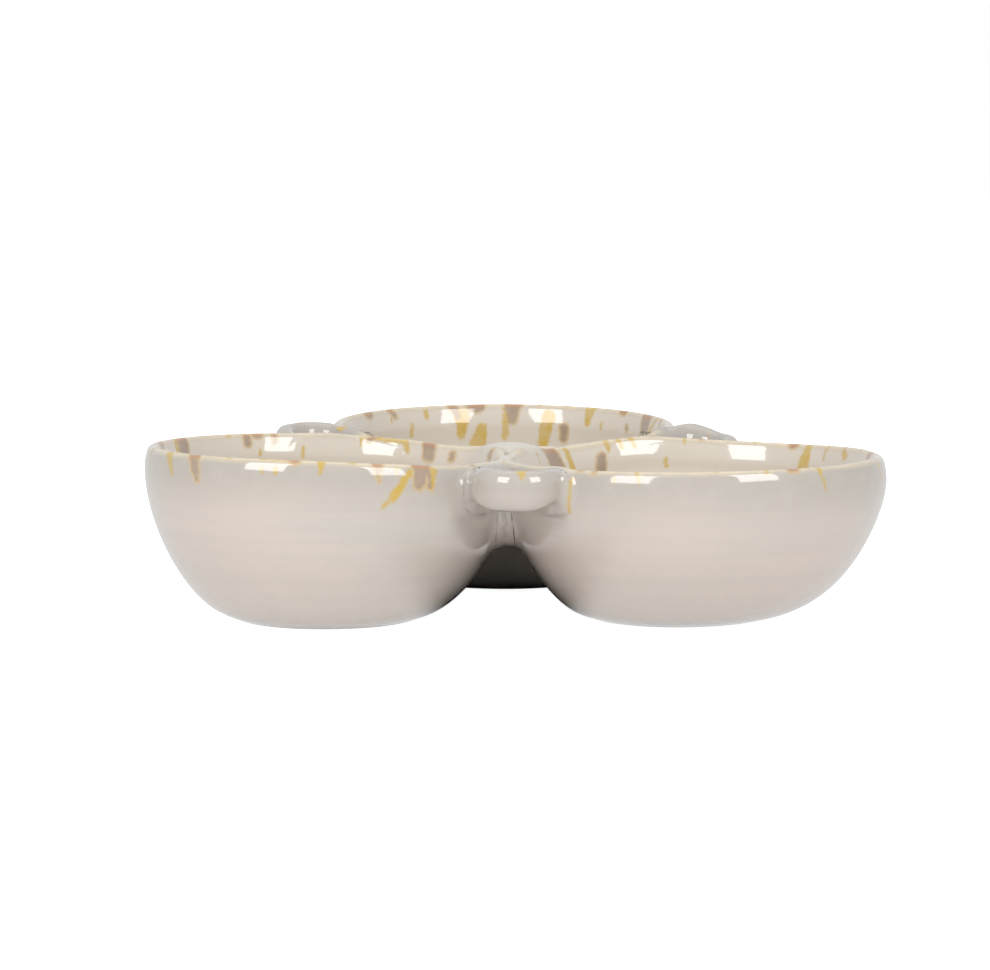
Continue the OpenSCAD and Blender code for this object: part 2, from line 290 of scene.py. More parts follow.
def hand_waves(i, angle, height):
    """Slow waves that hands leave in a thrown wall: three sines round the bowl, 0.46 mm at most."""
    wide = 0.22 * np.sin(2 * angle + i)
    winding = 0.14 * np.sin(3 * angle + 2 * i + 0.05 * height)
    return wide + winding + 0.1 * np.sin(5 * angle + 4 * i)


def foot_slip(i, height):
    """How far the right bowl's low part has slipped towards the hub: 7 * e^(-height / 9)."""
    return (7.0 if i == right else 0.0) * np.exp(-np.maximum(height, 0) / 9.0)


to_hub = [(hub - m) / np.linalg.norm(hub - m) for m in middles]
PRESS = [6.5, 1.8, 3.0]
PRESS_WIDTH = math.radians(24)


def pressed_out(i, angle, height):
    """How far bowl i's wall is pressed out into the corner at the hub: PRESS * cos^2, and less lower down."""
    away = (angle - math.atan2(*to_hub[i][::-1]) + math.pi) % (2 * math.pi) - math.pi
    bump = np.cos(math.pi / 2 * np.clip(np.abs(away) / PRESS_WIDTH, 0, 1)) ** 2
    return PRESS[i] * bump * ease((height - 18) / 27)


print("rims run from", [round(t.min(), 1) for t in rim_tables], "to", [round(t.max(), 1) for t in rim_tables])

# %% [markdown]
# ## How near is the next piece
#
# Soft clay joins leave a smooth hollow, not a crease. To model one, every point has to know how far it is
# from each piece of clay, with a minus sign inside it. For a bowl the distance is measured in its
# section. It is worked out once on a fine flat grid, and then only looked up.

# %% Distances from a drawn outline
GRID = 0.25


def distance_grid(row, low, high):
    """Distances from a row of points, less than 0 inside it, at the nodes of a grid between two corners,
    and the length along the row at the nearest place."""
    a, b = (np.arange(start, end, GRID) for start, end in zip(low, high))
    nodes = np.stack(np.meshgrid(a, b, indexing="ij"), -1).reshape(-1, 2)
    step = np.gradient(row, axis=0)
    outward = np.stack([step[:, 1], -step[:, 0]], -1)
    turned = np.sum(row[:, 0] * np.roll(row[:, 1], -1) - row[:, 1] * np.roll(row[:, 0], -1))
    outward *= np.sign(turned) / np.linalg.norm(outward, axis=1)[:, None]
    short = row.astype(np.float32)
    squares = (short**2).sum(1)
    parts = np.array_split(nodes.astype(np.float32), 40)
    near = np.concatenate([(squares - 2 * part @ short.T).argmin(1) for part in parts])
    best = np.full(len(nodes), 1e9)
    side = np.zeros(len(nodes))
    for start, end in ((np.maximum(near - 1, 0), near), (near, np.minimum(near + 1, len(row) - 1))):
        run = row[end] - row[start]
        t = np.clip(((nodes - row[start]) * run).sum(1) / np.maximum((run**2).sum(1), 1e-9), 0, 1)[:, None]
        to = nodes - row[start] - t * run
        away = np.linalg.norm(to, axis=1)
        facing = (to * (outward[start] * (1 - t) + outward[end] * t)).sum(1)
        side = np.where(away < best, facing, side)
        best = np.minimum(away, best)
    shape = (len(a), len(b))
    return (best * np.where(side < 0, -1, 1)).reshape(shape), along(row)[near].reshape(shape)


def look_up(grid, low, p, q):
    """Value of a grid at places p, q: a blend of the four nodes round each."""
    x = np.clip((p - low[0]) / GRID, 0, grid.shape[0] - 1.001)
    y = np.clip((q - low[1]) / GRID, 0, grid.shape[1] - 1.001)
    i, j = x.astype(int), y.astype(int)
    x, y = x - i, y - j
    one = grid[i, j] * (1 - x) + grid[i + 1, j] * x
    two = grid[i, j + 1] * (1 - x) + grid[i + 1, j + 1] * x
    return one * (1 - y) + two * y


bowl_corner = (0.0, -6.0)
bowl_grids, skin_grids = zip(*[distance_grid(row, bowl_corner, (94.0, 84.0)) for row in profiles])
print("bowl grids", bowl_grids[0].shape, "deepest", [round(float(g.min()), 2) for g in bowl_grids])


def on_section(i, points):
    """Points brought back to bowl i's plain section, without slip, waves, press and rim height."""
    plan = points[..., :2] - middles[i] - foot_slip(i, points[..., 2])[..., None] * to_hub[i]
    angle = np.arctan2(plan[..., 1], plan[..., 0])
    height = lowered(i, points[..., 2], angle)
    radius = np.hypot(plan[..., 0], plan[..., 1])
    waves = hand_waves(i, angle, height) * ease(radius / 40)
    press = pressed_out(i, angle, height) * ease((radius - 30) / 30)
    return angle, radius - (waves + press), height


def bowl_distance(i, points):
    """Distance to bowl i: its section's, looked up."""
    _, radius, height = on_section(i, points)
    return look_up(bowl_grids[i], bowl_corner, radius, height)


# %% [markdown]
# ## The shape of a handle
#
# A pulled handle is a strap with a rounded section, carried along a U. The section narrows towards the
# walls and then swells to a soft collar, where the potter's thumb pressed it on. The distance from such a
# strap is that from an oval, in the plane that crosses the U.

# %% Sizes of the handles
HANDLE_T = 9.2
LOOP_R = 14.6
FINGER_GAP = 41
WEB_FACE = 0.5
HANDLE_MID_H = 16.2
HANDLE_END_H = 12.0
COLLAR = 2.8
COLLAR_H = 2.0
FRONT_SHIFT = -5.5
OVAL = 2.4

half_joint = [math.sqrt(radii[f] ** 2 - joint_from(f, s) ** 2) for f, s in JOINTS]
handle_nodes = ["front_handle", "left_handle", "right_handle"]
handle_shift = [FRONT_SHIFT, 0.0, 0.0]
# heights of each handle's middle line at its first end, half way and at its second end
handle_lines = [(59.9, 58.2, 58.8), (61.4, 63.0, 64.5), (63.4, 58.2, 55.6)]


def handle_loop(k):
    """Loop radius and distance out of joint k's ring centre."""
    return LOOP_R, half_joint[k] + WEB_FACE + FINGER_GAP - LOOP_R + HANDLE_T / 2


def wall_gap(k, local):
    """Distance in plan from points of joint k's frame to the nearer of its two bowls."""
    first, second = JOINTS[k]
    a = np.hypot(local[..., 0] + joint_from(first, second), local[..., 1]) - radii[first]
    b = np.hypot(local[..., 0] - joint_from(second, first), local[..., 1]) - radii[second]
    return np.minimum(a, b)


def handle_size(k, local):
    """Half thickness, half height and middle height of handle k's section near a point."""
    gap = wall_gap(k, local)
    collar = 1 - ease((gap + 0.6) / 4.2)
    body = HANDLE_END_H + (HANDLE_MID_H - HANDLE_END_H) * ease((gap + 2) / 20)
    ring, _ = handle_loop(k)
    share = np.clip((local[..., 0] - handle_shift[k]) / ring, -1, 1)
    start, half_way, end = handle_lines[k]
    line = half_way + np.where(share < 0, start - half_way, end - half_way) * share**2
    return HANDLE_T / 2 + COLLAR * collar, body / 2 + COLLAR_H * collar, line - 2.8 * collar


def oval_distance(x, y, a, b):
    """About the distance to the oval |x/a|^n + |y/b|^n = 1: its level less 1, over the level's steepness."""
    u, v = np.abs(x / a), np.abs(y / b)
    level = np.maximum((u**OVAL + v**OVAL) ** (1 / OVAL), 1e-3)
    steep = np.hypot((u / level) ** (OVAL - 1) / a, (v / level) ** (OVAL - 1) / b)
    return (level - 1) / steep


def root_depth(height):
    """How far a handle's end goes into the wall: little at the thin lip and more where the belly draws in."""
    return 3.2 + 2.6 * ease((57 - height) / 10)


def handle_distance(k, points):
    """Distance to handle k: an oval's, with the distance from the U as its first side; it ends in the wall."""
    local = to_joint(k, points)
    ring, out = handle_loop(k)
    x = local[..., 0] - handle_shift[k]
    y = local[..., 1] - out
    from_u = np.where(y > 0, np.hypot(x, y) - ring, np.abs(x) - ring)
    half_t, half_h, middle = handle_size(k, local)
    strap = oval_distance(from_u, local[..., 2] - middle, half_t, half_h)
    return np.where(local[..., 1] > 4, np.maximum(strap, -root_depth(local[..., 2]) - wall_gap(k, local)), 50.0)


# %% [markdown]
# ## Webs and plug
#
# Under each joint the potter works in a web of clay, and a round plug closes the place where three walls
# meet. A web is a slab in the joint plane with a rounded outline: a full quarter oval below, which shows as
# a small arch under the front handle. The plug is a lump with an oval outline from every side.

# %% Outline of a web
WEB_BASE = 30.2
WEB_HALF = 2.9
WEB_ROUND = 1.3
WEB_TOP = JOINT_H - 5.0
WEB_PROUD = 8.2

web_nodes = ["front_web", "left_web", "right_web"]
plug_back = [float(-to_joint(k, np.append(hub, 0.0)[None])[0, 1]) for k in range(3)]


def web_outline(k):
    """Out and up round joint k's web: from the hub along its underside, up its front and back over its top."""
    face = half_joint[k] + WEB_PROUD
    touch = WIDE + 1
    back = -plug_back[k] + 6
    turn = np.linspace(0, math.pi / 2, 40)
    drop = (touch - WEB_BASE) * np.maximum(np.cos(turn), 0) ** 0.8
    under = np.stack([face * np.sin(turn) ** 0.8, touch - drop], -1)
    start = [back, (WEB_BASE + WEB_TOP) / 2]
    over = [[face, touch + 0.8], [face - 3.0, WEB_TOP], [back, WEB_TOP - 1], start]
    return soften(np.concatenate([[start, [back, WEB_BASE + 1]], under, over]), 0.6, 1.6)[:-1]


web_rows = [web_outline(k) for k in range(3)]
web_corner = (-46.0, 20.0)
web_grids = [distance_grid(np.vstack([row, row[:1]]), web_corner, (36.0, 76.0))[0] for row in web_rows]


def web_half(out):
    """Half thickness of a web: WEB_HALF in the notch and a third of it near the hub, where the walls bend."""
    return WEB_HALF * (0.34 + 0.66 * ease((out + 14) / 10))


def web_distance(k, points):
    """Distance to web k: its outline drawn web_half thick to both sides of the joint plane, with round edges."""
    local = to_joint(k, points)
    flat = look_up(web_grids[k], web_corner, local[..., 1], local[..., 2]) + WEB_ROUND
    side = np.abs(local[..., 0]) - web_half(local[..., 1]) + WEB_ROUND
    slab = np.hypot(np.maximum(flat, 0), np.maximum(side, 0)) + np.minimum(np.maximum(flat, side), 0) - WEB_ROUND
    return np.where(local[..., 1] > web_corner[0] + 1, slab, 50.0)


# %% Shape of the plug
PLUG_R = 12.8
PLUG_H = 13.0
PLUG_MIDDLE = np.array([hub[0] + 2.6, hub[1] - 0.6, 54.9])


def plug_distance(points):
    """About the distance to the plug, an egg of half width PLUG_R and half height PLUG_H."""
    away = (points - PLUG_MIDDLE) / [PLUG_R, PLUG_R, PLUG_H]
    level = np.maximum(np.linalg.norm(away, axis=-1), 1e-3)
    steep = np.linalg.norm(away / [PLUG_R, PLUG_R, PLUG_H], axis=-1) / level
    return (level - 1) / steep


# %% [markdown]
# ## Smearing the clay together
#
# Two distances are melted into one by taking the smaller and lowering it where they are nearly equal: by
# (reach - difference)^2 / (4 * reach). Where the melted distance is 0 lies the skin of the whole dish, with
# smooth hollows in all its corners. Each piece is then moved out to that skin, and slips a little below
# it where it passes into its neighbour, so the pieces stay separate meshes and still look like one body.

# %% The whole body of clay
def melt(a, b, reach):
    """The soft minimum of two distances."""
    return np.minimum(a, b) - np.maximum(reach - np.abs(a - b), 0) ** 2 / (4 * reach)


def clay(points):
    """Melted distance of points to the whole dish, and their distances to its ten pieces."""
    each = [bowl_distance(i, points) for i in range(3)]
    each += [handle_distance(k, points) for k in range(3)]
    each += [web_distance(k, points) for k in range(3)]
    each += [plug_distance(points)]
    height = points[..., 2]
    whole = melt(melt(each[0], each[1], 3.0), each[2], 3.0)
    whole = melt(whole, np.minimum(np.minimum(each[3], each[4]), each[5]), 4.6)
    webs_reach = 4.4 + 3.6 * ease((45 - height) / 10)
    whole = melt(whole, np.minimum(np.minimum(each[6], each[7]), each[8]), webs_reach)
    return melt(whole, each[9], 8.0), np.array(each)


def slope_of(points, step=0.3):
    """Melted distance of points, and its steepest way up: differences over a small step along x, y and z."""
    ways = np.eye(3) * step
    rise = [clay(points + w)[0] - clay(points - w)[0] for w in ways]
    return clay(points), np.stack(rise, -1) / (2 * step)


def smear(points, own):
    """Points moved to the melted skin: five steps down or up its steepest way; own is their piece's number."""
    total, each = clay(points)
    others = np.delete(each, own, 0).min(0)
    busy = (np.abs(total) > 0.004) & (others > -3)
    base = points[busy]
    now = base.copy()
    for _ in range(5):
        (total, each), way = slope_of(now)
        push = -total[:, None] * way / np.maximum((way**2).sum(1, keepdims=True), 0.1)
        size = np.linalg.norm(push, axis=1, keepdims=True)
        now = now + push * np.minimum(1, 1.5 / np.maximum(size, 1e-9))
    each = clay(now)[1]
    past = each[own] - np.delete(each, own, 0).min(0)
    keep = 1 - ease((past - 0.5) / 2.0)
    moved = points.copy()
    moved[busy] = base + (now - base) * keep[:, None]
    return moved


# %% Meshes from grids
def new_piece(name, points, faces, fields, node):
    """A smooth mesh in the dish's frame that replaces a CAD node; fields are numbers kept per vertex."""
    mesh = bpy.data.meshes.new(name)
    mesh.from_pydata((points * MM).tolist(), [], faces)
    for key, values in fields.items():
        mesh.attributes.new(key, "FLOAT", "POINT").data.foreach_set("value", np.asarray(values, np.float32))
    mesh.validate()
    mesh.shade_smooth()
    # the shading follows the melted skin, which all pieces share, so no seam shows
    way = slope_of(points)[1]
    mesh.normals_split_custom_set_from_vertices((way / np.linalg.norm(way, axis=1, keepdims=True)).tolist())
    piece = bpy.data.objects.new(name, mesh)
    bpy.context.collection.objects.link(piece)
    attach(piece, "root")
    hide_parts(node)
    print(name, len(points), "points,", sum(len(f) - 2 for f in faces), "triangles")
    return piece


def faces_outward(points, faces):
    """Turns all faces round if the closed skin they make has less than no volume."""
    tris = np.array([t for f in faces for t in ([f[:3]] if len(f) == 3 else [f[:3], [f[0], f[2], f[3]]])])
    a, b, c = points[tris[:, 0]], points[tris[:, 1]], points[tris[:, 2]]
    volume = np.einsum("ij,ij->i", a, np.cross(b, c)).sum() / 6
    return faces if volume > 0 else [f[::-1] for f in faces]


def closed_skin(grid, first_pole, last_pole):
    """Points and faces of a grid closed along its columns, with a pole before its first row and after its last."""
    rows, columns = grid.shape[:2]
    points = np.concatenate([grid.reshape(-1, 3), [first_pole, last_pole]])
    r, c = np.meshgrid(np.arange(rows - 1), np.arange(columns), indexing="ij")
    n = (c + 1) % columns
    quads = np.stack([r * columns + c, r * columns + n, (r + 1) * columns + n, (r + 1) * columns + c], -1)
    ring = np.arange(columns)
    after = np.roll(ring, -1)
    last = (rows - 1) * columns
    first_fan = np.stack([np.full(columns, rows * columns), after, ring], -1)
    last_fan = np.stack([np.full(columns, rows * columns + 1), last + ring, last + after], -1)
    faces = quads.reshape(-1, 4).tolist() + first_fan.tolist() + last_fan.tolist()
    return points, faces_outward(points, faces)


# %% [markdown]
# ## Streaks in the glaze
#
# The potter touched the rims with brown and yellow glaze that ran as it melted. Each streak is a soft
# spindle on a piece's skin: a place round the bowl or along the handle, a start and an end measured over
# the skin, two widths and a slant. Each point of the skin keeps its distance to the nearest streak of
# each colour, and the glaze draws a crisp, slightly ragged edge from it.

# %% Streaks
# a bowl's streak: degrees, start and end from the rim (inwards negative), width at start and end, slant
# a handle's streak: place along it, start and end round it from its top, widths, slant
streaks = {
    "brown": {
        "left_bowl": [
            (-134, -0.8, 9.8, 6.4, 2.7, 4), (-72.1, 0, 7.6, 4.9, 0.8, 0.3), (-57.1, 0, 8.7, 8.4, 4.4, -2.2),
            (-54.9, 3, 9.4, 2.4, 1.6, 0), (153.5, -0.4, -6.2, 8, 7.5, 0.8), (122.1, -3, -5.5, 3.6, 3.4, 0.2),
            (111.5, -2, -4.9, 2, 1.8, 0.2), (76, -0.8, -2.4, 3, 2.6, 2), (54.7, -0.6, -6.4, 6.4, 5.4, -1.4),
            (44.5, -4.8, -7, 2.2, 2.2, 0.2), (26.3, -2.6, -5, 2.6, 2.2, -1.5), (172, -1, 10.5, 7.5, 3, 2),
            (-163, 0, 5, 3.2, 1, 0), (118, -0.6, 8, 5.5, 2.4, -1), (-98, -1, -9, 7, 4, 1),
            (-35, -0.6, -6, 4, 2.6, 0.5),
        ],
        "right_bowl": [
            (-122.8, -0.6, 2.4, 3.4, 1.2, 0.2), (141.1, -0.8, -8.8, 8, 8, -3.1), (120, -7.6, -11.2, 4.6, 5.4, 0.1),
            (28.8, -1.9, -1.1, 0.9, 0.9, -0.2), (101, 0.2, 0.6, 1.6, 1.4, 1), (8, -0.8, 9.5, 7, 3.2, -1.5),
            (52, -0.4, 7, 5, 1.8, 1), (84, 0.5, 5.5, 3, 1.6, 0), (-62, -0.8, -8, 6.5, 4.2, -1),
            (-128, -1, -7.5, 5, 3, 1),
        ],
        "left_handle": [(5, -1, 5, 1.8, 1.2, -2)],
        "right_handle": [(27, -3, 4, 6, 4, 0)],
        "rear_bowl": [
            (136, -1, -4.5, 2, 2.2, -2.6), (109, -0.6, -6.6, 4.4, 2.8, -2.2), (86.2, -0.4, -8.2, 8.4, 4.1, 0.4),
            (66, -11, -15.6, 4, 3.2, 0), (36.1, -7.6, -9.4, 2, 2, -0.3), (24.9, -0.6, -7.6, 8.6, 7, -1.3),
            (12.5, 0.2, -5.1, 2.2, 1.8, -3), (100, -0.6, 11, 9, 4, 1), (40, -0.4, 8, 5.4, 2, 0.6),
            (148, -0.8, 9, 6.6, 2.6, -1.2), (66, 0.2, 4.6, 3, 1, 0), (-70, -1, -8, 6, 3.6, 1),
            (-128, -0.6, -6, 4.2, 2.2, 0), (183, 0.6, 6, 5, 3, 0),
        ],
    },
    "yellow": {
        "left_bowl": [
            (-147.1, 0.2, 9.3, 5, 2.4, 5.2), (-107.9, 4.6, 6.1, 2, 1.6, 0.1), (-103.5, 4.8, 6.2, 2.4, 1.8, 0.1),
            (-109, 0.6, 1.2, 1.2, 1.2, 11.8), (-89.5, 0.4, 5.6, 3.9, 1.9, -0.4), (-65.9, 2.8, 5.4, 2.4, 1.5, -0.2),
            (-61.5, 4, 14, 3, 4.2, -7.8), (-67.7, 14.2, 18.2, 2.6, 1.1, -4.6), (-53.2, 3.3, 11.7, 3.9, 1.5, -1.8),
            (157.2, -0.7, -6, 3.2, 3.6, 1.9), (129.2, -0.8, -2.6, 2, 1.5, 0.5), (101.3, -7.4, -11.3, 1.7, 1.7, 0.1),
            (117.7, -8.3, -10.2, 1.6, 1.6, 0), (80.3, -2.5, -5, 2.1, 1.7, 0), (74, -1.6, -1.8, 3, 3.4, -11.5),
            (64.5, -1.7, -6.4, 4, 1.9, -2.5), (166, 3, 13, 3.4, 2.2, 2.5), (-172, 0.6, 7, 3.4, 1.6, -1),
            (140, 0.4, 9, 3.8, 1.8, 1), (122, 4, 12, 2.6, 1.6, -2), (-120, -0.8, -8, 4, 3, 2),
            (-80, -1, -13, 5, 3.4, -1), (-10, -2, -5, 2.2, 1.8, 0),
        ],
        "right_bowl": [
            (-116, 3.6, 5.2, 1.2, 1.2, 0.3), (-109.1, 0.5, 5.8, 2.4, 1.4, 1.2), (-70.6, 0.8, 2.6, 2, 1.6, -0.3),
            (-73, 0.1, 0.2, 1, 1, 4), (-53, 0.3, 10.8, 2.6, 1.5, 2.6), (-129.5, 4.8, 17.9, 1.1, 1.7, -1.5),
            (139.5, -2.3, -9.3, 1.6, 2, -4.5), (133.4, -1.6, -10.2, 2.8, 3.4, -1.8), (149.4, -2.7, -7.8, 0.8, 0.8, 0.2),
            (117, -0.3, -4.6, 3, 2.4, -0.4), (112.6, -0.3, -4.6, 2.6, 2, -1.2), (108.3, -0.3, -4.6, 3, 2.2, -1.5),
            (96.1, -10.2, -13, 2.2, 2.6, 0), (89.7, -0.9, -3.6, 1.6, 1.2, 0), (45.9, -0.6, -9.9, 3.4, 6, 0.9),
            (37.4, -0.5, -7, 2.2, 1.2, 1), (28.5, -3.2, -5, 2.6, 4, -2), (-20, 0.4, 9, 3, 1.6, 1),
            (18, 0.6, 13, 3.6, 2.2, 2.4), (66, 0.4, 7, 3.4, 1.8, -0.8), (-86, -1, -9, 4.6, 3, 1.4),
            (-35, -1, -6, 3.4, 2.4, 0), (170, -2.6, -6, 2.2, 1.6, 0),
        ],
        "rear_bowl": [
            (136.1, -5.3, -6.7, 1.6, 1.6, 0.2), (119.7, -3.3, -6, 2.6, 2.6, 0.3), (126.8, -8.9, -13.3, 2.5, 2.5, 0.3),
            (105.6, -6.6, -14.7, 7.6, 4, 1), (98, -11.6, -18.3, 4.6, 8.4, 1.7), (88.8, -6.5, -15.6, 3.6, 3.7, 0.4),
            (89.6, -3, -7, 1.2, 2.2, 0), (72.3, -6.4, -18, 7.2, 5.2, 2.5), (55.7, -0.8, -8.6, 6.2, 3.2, 0.3),
            (49.6, -7.7, -10.3, 2, 1.8, -0.3), (38.8, -0.8, -3.6, 1.6, 1.2, -0.4), (16, -0.8, -7.3, 3, 3.2, 3.4),
            (92, 3, 15, 4.2, 2.4, 1.6), (76, 0.5, 8, 4, 1.8, 0), (54, 0.6, 9.5, 3.6, 2, -1.4),
            (24, 0.4, 7, 3.2, 1.6, 0.6), (118, 0.6, 6, 3, 1.6, 0.4), (134, 0.5, 10, 3.8, 2.2, -2),
            (160, 0.6, 8, 3.2, 1.8, 1), (-52, -1, -9, 4.4, 3, 1), (-100, -2, -7, 3.4, 2.2, 0),
        ],
        "front_handle": [(-9.6, 0.6, 6, 5.4, 0.8, 0.3)],
        "left_handle": [(27, -2, 5, 4.6, 3, 2), (-16, 3, 9, 3, 1.6, 0)],
        "right_handle": [(18, -1, 5, 3.4, 1.8, -2), (-8, 3, 9, 3, 1.6, 0)],
    },
}


def spindle_distance(colour, name, place, skin, scale, turn):
    """Distance in millimetres along the skin to the nearest spindle, less than 0 inside one."""
    best = np.full(np.shape(place), 9.0)
    for at, start, end, wide, narrow, slant in streaks[colour].get(name, []):
        side = place - at
        side = ((side + turn / 2) % turn - turn / 2 if turn else side) * scale
        run = end - start
        share = np.clip(((skin - start) * run + side * slant) / (run * run + slant * slant), 0, 1)
        away = np.hypot(side - slant * share, skin - start - run * share)
        best = np.minimum(best, away - (wide + (narrow - wide) * share) / 2)
    return best


def fields_at(points):
    """Numbers for the glaze at places on any piece: skin length from the nearest bowl's rim, distance from
    that bowl, distance to the nearest brown and yellow streak, distance to the nearest web and to its joint
    plane, and to the hub. They depend on place alone, so the glaze runs on from piece to piece."""
    best = np.full(len(points), 99.0)
    fields = {key: np.full(len(points), 9.0) for key in ("from_rim", "melted", *streaks)}
    for i, name in enumerate(BOWLS):
        angle, radius, height = on_section(i, points)
        away = look_up(bowl_grids[i], bowl_corner, radius, height)
        length = along(profiles[i])
        skin = length[profiles[i][:, 1].argmax()] - look_up(skin_grids[i], bowl_corner, radius, height)
        nearer = away < best
        best = np.where(nearer, away, best)
        fields["from_rim"] = np.where(nearer, skin, fields["from_rim"])
        for colour in streaks:
            marks = spindle_distance(colour, name, np.degrees(angle), skin, radius * math.pi / 180, 360)
            fields[colour] = np.where(nearer, marks, fields[colour])
    fields["melted"] = np.maximum(best, 0)
    across = np.abs(np.stack([to_joint(k, points)[:, 0] for k in range(3)]))
    webs_away = np.stack([web_distance(k, points) for k in range(3)])
    nearest = webs_away.argmin(0)
    fields["web"] = webs_away.min(0)
    fields["hub"] = np.hypot(*(points[:, :2] - hub).T)
    fields["web_side"] = across[nearest, np.arange(len(points))]
    return fields


# %% [markdown]
# ## Bowl skins
#
# Each skin is a grid of profile points by angles, closed at a pole below and a pole inside. The grid
# lines crowd together near the joints and handles, where the shape needs them, and along the rim.

# %% Grid lines
def crowded(total, count, density):
    """Count stations from 0 to total, closer together where density is high."""
    fine = np.linspace(0, total, 4000)
    weight = density(fine)
    reached = np.concatenate([[0], np.cumsum((weight[1:] + weight[:-1]) / 2)])
    return np.interp(np.linspace(0, reached[-1], count), reached, fine)


def bowl_angles(i, count=620):
    """Angles round bowl i, closer together at its joints, at the hub and at the ends of its handles."""
    places = [math.atan2(*to_hub[i][::-1])]
    for k, (first, second) in enumerate(JOINTS):
        if i in (first, second):
            ring, out = handle_loop(k)
            side = -1 if i == first else 1
            origin, across, outward = joint_frame(k)
            leg = origin + across * (handle_shift[k] + side * ring) + outward * out - middles[i]
            seam = origin + outward * half_joint[k] - middles[i]
            places += [math.atan2(leg[1], leg[0]), math.atan2(seam[1], seam[0])]
    turn = 2 * math.pi

    def density(fine):
        away = [(fine - p + math.pi) % turn - math.pi for p in places]
        return 1 + 3.2 * sum(np.exp(-((a / 0.15) ** 2)) for a in away)

    return crowded(turn, count + 1, density)[:-1]


def profile_rows(i, count=158):
    """Profile of bowl i at stations that crowd on the lip and below it, and their skin lengths from the
    crest, positive outside."""
    row = profiles[i]
    length = along(row)
    crest = length[row[:, 1].argmax()]

    def density(fine):
        skin = crest - fine
        near = np.exp(-((skin / 7.0) ** 2)) * 1.4
        foot = np.exp(-(((fine - 33) / 7.0) ** 2)) * 0.8
        outer = 1.0 * ease(skin / 4) * ease((42 - skin) / 12)
        inner = 0.5 * ease(-skin / 4) * ease((26 + skin) / 10)
        return 0.34 + near + foot + outer + inner

    stations = crowded(length[-1], count, density)
    return resample(row, stations), crest - stations


# %% Bowls
# how far a wall is cut past its joint plane, and how deep it dips there
PAST_PLANE = 1.2
DIP = 1.1


def bowl_skin(i):
    """Points and faces of bowl i."""
    angle = bowl_angles(i)
    row, skin = profile_rows(i)
    phi = angle[None, :] + 0 * row[:, :1]
    height = lifted(i, row[:, 1:2], phi)
    radius = row[:, :1] + hand_waves(i, phi, row[:, 1:2]) * ease(row[:, :1] / 40)
    radius = radius + pressed_out(i, phi, row[:, 1:2]) * ease((row[:, :1] - 30) / 30)
    # a wall stops a little past its joint planes, inside its neighbour
    for j in range(3):
        if j != i:
            facing = np.cos(phi - math.atan2(*(middles[j] - middles[i])[::-1]))
            limit = (joint_from(i, j) + PAST_PLANE) / np.maximum(facing, 0.2)
            radius = np.where(facing > 0.2, np.minimum(radius, limit), radius)
    slip = foot_slip(i, height)
    x = middles[i][0] + radius * np.cos(phi) + slip * to_hub[i][0]
    y = middles[i][1] + radius * np.sin(phi) + slip * to_hub[i][1]
    plain = np.stack([x, y, height], -1).reshape(-1, 3)
    moved = smear(plain, i)
    # past a joint plane it stays where it was cut and dips under its neighbour's skin, so the two cross in
    # one clean line
    for j in range(3):
        if j != i:
            way = (middles[j] - middles[i]) / np.linalg.norm(middles[j] - middles[i])
            past_plane = (plain[:, :2] - middles[i]) @ way - joint_from(i, j)
            moved += (plain - moved) * ease((past_plane - 0.4) / 0.7)[:, None]
            beyond = (moved[:, :2] - middles[i]) @ way - joint_from(i, j)
            dips = beyond > 0.1
            slope = slope_of(moved[dips])[1]
            slope /= np.maximum(np.linalg.norm(slope, axis=1, keepdims=True), 0.3)
            moved[dips] -= slope * DIP * ease((beyond[dips] - 0.1) / 0.8)[:, None]
    grid = moved.reshape(*phi.shape, 3)
    # the first and last rows sit on the axis: each becomes one pole
    return closed_skin(grid[1:-1], grid[0].mean(0), grid[-1].mean(0))


bowls = []
for i, name in enumerate(BOWLS):
    points, faces = bowl_skin(i)
    bowls.append(new_piece(name + "_glazed", points, faces, fields_at(points), name))

# %% [markdown]
# ## Handle skins
#
# The strap's skin is a grid too: rounded sections along the U. Both ends stop inside the wall, where
# nobody sees them, and the smearing gives each end its soft root.

# %% Handles
def handle_path(k, count=230):
    """Points and outward angles along handle k's U, and lengths along it from its middle."""
    ring, out = handle_loop(k)
    first, second = JOINTS[k]
    legs = []
    for side, bowl, other in ((-1, first, second), (1, second, first)):
        from_axis = joint_from(bowl, other) - ring - side * handle_shift[k]
        inner_side = min(from_axis + HANDLE_T / 2 + COLLAR, radii[bowl] - 8)
        legs.append(out - math.sqrt((radii[bowl] - 5.2) ** 2 - inner_side**2))
    total = legs[0] + math.pi * ring + legs[1]
    s = np.linspace(0, total, count)
    turn = math.pi - np.clip((s - legs[0]) / ring, 0, math.pi)
    x = handle_shift[k] + ring * np.cos(turn)
    y = out + ring * np.sin(turn) - np.maximum(legs[0] - s, 0) - np.maximum(s - (total - legs[1]), 0)
    return np.stack([x, y], -1), turn, s - total / 2


def kept_in_wall(k, points):
    """Points of handle k, drawn back where they would come through a wall of its notch."""
    for bowl in JOINTS[k]:
        plan = points[:, :2] - middles[bowl]
        away = np.linalg.norm(plan, axis=1)
        short = np.maximum(radii[bowl] - 0.2 - root_depth(points[:, 2]) - away, 0)
        points[:, :2] += plan / away[:, None] * short[:, None]
    return points


